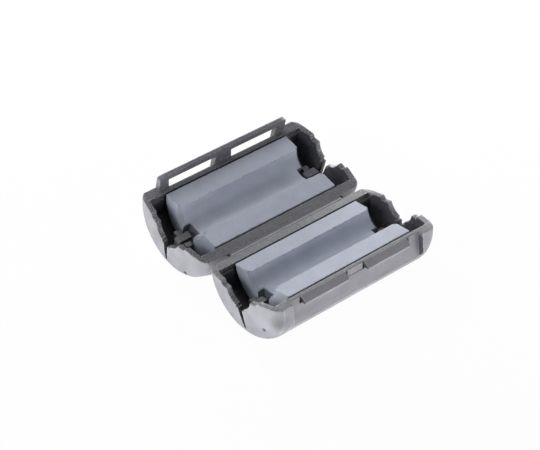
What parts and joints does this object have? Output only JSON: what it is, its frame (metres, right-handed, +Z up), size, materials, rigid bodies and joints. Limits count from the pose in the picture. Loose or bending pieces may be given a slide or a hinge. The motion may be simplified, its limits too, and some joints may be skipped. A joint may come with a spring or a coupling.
{
  "type": "clip-on ferrite bead",
  "caption": "Clip-on ferrite bead lying open: hinged moulded case halves with latch frame and catches, each holding a half-round ferrite core.",
  "frame": {"origin": "on the surface that the open case rests on, midway between the two halves and below the middle of the hinge", "axes": "+X along the hinge and the cable channels, +Y from the catch half to the latch half, +Z up"},
  "size_m": [0.0384, 0.0404, 0.0147],
  "materials": {
    "case_plastic": "satin moulded grey plastic",
    "ferrite": "matte sintered ferrite, blue-grey"
  },
  "bodies": {
    "catch_half": {"catch_shell": "case_plastic", "front_core": "ferrite", "living_hinge": "case_plastic"},
    "latch_half": {"latch_shell": "case_plastic", "rear_core": "ferrite"}
  },
  "joints": [
    {"name": "case_hinge", "type": "hinge", "parent": "catch_half", "child": "latch_half", "pos_m": [0, 0, 0.00818], "axis": [1, 0, 0], "range_deg": [0, 159.2], "deforming": ["living_hinge"]}
  ]
}
